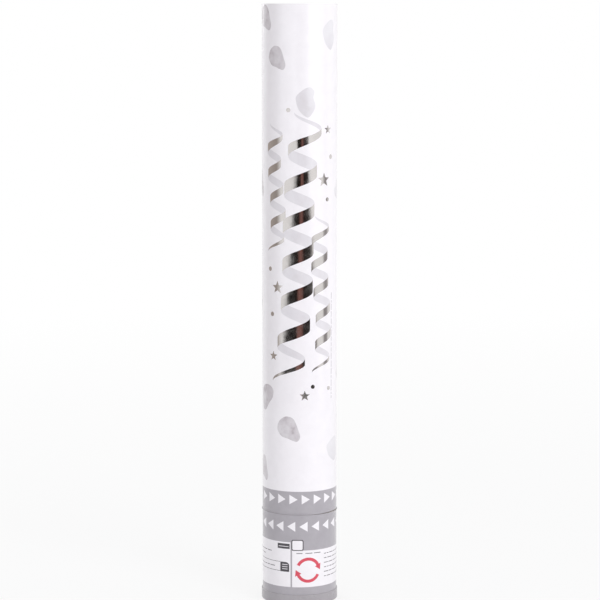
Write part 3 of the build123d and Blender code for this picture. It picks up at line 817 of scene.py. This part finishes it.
# White paint: plain white away from the object, with the object's shadow near it. It is clear from below.
white_paint, tree, place = new_material("Matte white paint")
path = add(tree, "LightPath", {}).outputs
away = add(tree, "VectorMath", {0: place}, operation="LENGTH").outputs["Value"]
veil = add(tree, "MapRange", {"Value": away, "From Min": SHADOW_REACH[0], "From Max": SHADOW_REACH[1],
                              "To Min": SHADOW_VEIL, "To Max": 1.0})
mirrored = add(tree, "Math", {0: path["Is Camera Ray"], 1: path["Is Glossy Ray"]}, operation="MAXIMUM")
seen = add(tree, "Math", {0: mirrored, 1: path["Is Transmission Ray"]}, operation="MAXIMUM")
painted = shade(tree, {"Base Color": linear("#F2F2F3"), "Roughness": 0.9})
white = add(tree, "Emission", {"Color": (1, 1, 1, 1), "Strength": 1.0})
veiled = add(tree, "Math", {0: seen, 1: veil}, operation="MULTIPLY")
lit = add(tree, "MixShader", {0: veiled, 1: painted, 2: white})
below = add(tree, "NewGeometry", {}).outputs["Backfacing"]
floor_face = add(tree, "MixShader", {0: below, 1: lit, 2: add(tree, "BsdfTransparent", {})})
fill(tree, tree.nodes["Material Output"], {"Surface": floor_face})
shape = bmesh.new()
rim = [shape.verts.new((reach, 0, -FLOOR_DROP)) for reach in (FLOOR_HOLE, FLOOR_REACH)]
bmesh.ops.spin(shape, geom=[*rim, shape.edges.new(rim)], axis=(0, 0, 1), angle=2 * pi, steps=FLOOR_SIDES,
               use_merge=True)
bmesh.ops.recalc_face_normals(shape, faces=shape.faces)
if sum(face.normal.z for face in shape.faces) < 0:
    bmesh.ops.reverse_faces(shape, faces=shape.faces[:])
stage_piece("floor", shape, white_paint)

# Painted reflection card: it glows dark in the middle, with a brown stripe in a band that widens to its foot,
# beige on the left and grey on the right. The foil mirrors these as painted dark, brown and grey bands.
SCREEN_REACH = 0.8
SCREEN_HEIGHT = 0.7
SCREEN_SPAN = (-140, 130)
SCREEN_STEPS = 60
DARK_HEIGHTS = (0.02, 0.25)
DARK_HALF_WIDTHS = (62, 17)
DARK_MIDDLES = (-1, 9)
DARK_SPREAD = 1.25
painted_reflection_card, tree, place = new_material("Painted reflection card")
axes = add(tree, "SeparateXYZ", {"Vector": place}).outputs
ahead = add(tree, "Math", {0: axes["Y"], 1: -1.0}, operation="MULTIPLY")
bearing = add(tree, "Math", {0: axes["X"], 1: ahead}, operation="ARCTAN2")
heights = {"Value": axes["Z"], "From Min": DARK_HEIGHTS[0], "From Max": DARK_HEIGHTS[1]}
half_width = add(tree, "MapRange", {**heights, "To Min": radians(DARK_HALF_WIDTHS[0]),
                                    "To Max": radians(DARK_HALF_WIDTHS[1])})
middle = add(tree, "MapRange", {**heights, "To Min": radians(DARK_MIDDLES[0]),
                                "To Max": radians(DARK_MIDDLES[1])})
offset = add(tree, "Math", {0: bearing, 1: middle}, operation="SUBTRACT")
share = add(tree, "Math", {0: offset, 1: half_width}, operation="DIVIDE")
dark_place = add(tree, "MapRange", {"Value": share, "From Min": -DARK_SPREAD, "From Max": DARK_SPREAD})
dark = add(tree, "ValToRGB", {"Fac": dark_place}, stops=[
    (0.08, "#FFFFFF"), (0.17, "#181411"), (0.41, "#1C1512"), (0.45, "#8A615A"), (0.54, "#7C5650"),
    (0.58, "#1E1613"), (0.8, "#2B2523"), (0.88, "#7A7472"), (0.92, "#FFFFFF"),
])
side_place = add(tree, "MapRange", {"Value": bearing, "From Min": -pi, "From Max": pi})
sides = add(tree, "ValToRGB", {"Fac": side_place}, stops=[
    (0.15, "#FFFFFF"), (0.18, "#C2B9B3"), (0.3, "#A39B95"), (0.34, "#FFFFFF"), (0.71, "#FFFFFF"),
    (0.725, "#9A9697"), (0.755, "#A8A4A5"), (0.77, "#FFFFFF"),
])
card_colour = add(tree, "VectorMath", {0: dark, 1: sides}, operation="MULTIPLY")
# The card glows in these colours though it is no lamp: they are painted reflections for the foil.
card_glow = add(tree, "Emission", {"Color": card_colour, "Strength": 1.0})
fill(tree, tree.nodes["Material Output"], {"Surface": card_glow})
shape = bmesh.new()
start = radians(SCREEN_SPAN[0])
foot = Vector((SCREEN_REACH * sin(start), -SCREEN_REACH * cos(start), 0))
post = [shape.verts.new(foot + Vector((0, 0, height))) for height in (0, SCREEN_HEIGHT)]
bmesh.ops.spin(shape, geom=[*post, shape.edges.new(post)], axis=(0, 0, 1),
               angle=radians(SCREEN_SPAN[1] - SCREEN_SPAN[0]), steps=SCREEN_STEPS)
screen = stage_piece("screen", shape, painted_reflection_card)
screen.visible_camera = screen.visible_diffuse = screen.visible_shadow = screen.visible_transmission = False

# The room is white to the eye and lights the object evenly. Mirrors alone see painted reflections in it:
# grey rings between white panels, with one panel straight above.
ROOM_LIGHT = 0.73
world = bpy.data.worlds.new("White studio")
bpy.context.scene.world = world
world.use_nodes = True
tree = world.node_tree
path = add(tree, "LightPath", {}).outputs
rise = add(tree, "SeparateXYZ", {"Vector": add(tree, "TexCoord", {}).outputs["Generated"]}).outputs["Z"]
# Painted reflections: grey rings by height, seen only in mirrors.
mirrored = add(tree, "ValToRGB", {"Fac": rise}, stops=[
    (0.12, "#FFFFFF"), (0.24, "#A2A2A6"), (0.36, "#BEBEC1"), (0.42, "#FFFFFF"), (0.5, "#FFFFFF"),
    (0.6, "#C0C0C2"), (0.74, "#85858A"), (0.78, "#FFFFFF"), (0.85, "#FFFFFF"), (0.88, "#7C7C81"),
    (0.93, "#98989C"), (0.96, "#FFFFFF"),
])
seen = add(tree, "Math", {0: path["Is Camera Ray"], 1: path["Is Transmission Ray"]}, operation="MAXIMUM")
plain = add(tree, "MapRange", {"Value": seen, "To Min": ROOM_LIGHT, "To Max": 1.0})
level = add(tree, "MapRange", {"Value": path["Is Glossy Ray"], "To Min": plain, "To Max": mirrored})
fill(tree, tree.nodes["Background"], {"Color": (1, 1, 1, 1), "Strength": level})

# Two soft lamps: the key at the front right, and a weaker one behind on the left that lights the far side.
LAMP_SIZE = 1.6
LAMP_AIM = Vector((0, 0, 0.2))
LAMPS = (("key", 36, Vector((1.8, -2.4, 1.1))), ("back_light", 18, Vector((-1.9, 2.2, 1.1))))
for name, power, spot in LAMPS:
    light = bpy.data.lights.new(name, "AREA")
    light.shape = "DISK"
    light.size = LAMP_SIZE
    light.energy = power
    lamp = bpy.data.objects.new(name, light)
    lamp.location = spot
    lamp.rotation_euler = (LAMP_AIM - spot).to_track_quat("-Z", "Y").to_euler()
    bpy.context.scene.collection.objects.link(lamp)

# Camera: a metre and a half in front of the popper, level with its muzzle and tilted down by seven degrees.
# Its long lens keeps the tube's sides all but parallel.
CAMERA_REACH = 1.55
CAMERA_RISE = radians(7.2)
CAMERA_AIM = Vector((0.00034, 0, 0.20304))
CAMERA_LENS = 138.83
camera = bpy.data.cameras.new("camera")
camera.sensor_width = 36
camera.lens = CAMERA_LENS
camera_object = bpy.data.objects.new("camera", camera)
camera_object.location = CAMERA_AIM + CAMERA_REACH * Vector((0, -cos(CAMERA_RISE), sin(CAMERA_RISE)))
camera_object.rotation_euler = (CAMERA_AIM - camera_object.location).to_track_quat("-Z", "Y").to_euler()
bpy.context.scene.collection.objects.link(camera_object)
bpy.context.scene.camera = camera_object
bpy.context.scene.view_settings.view_transform = "Standard"
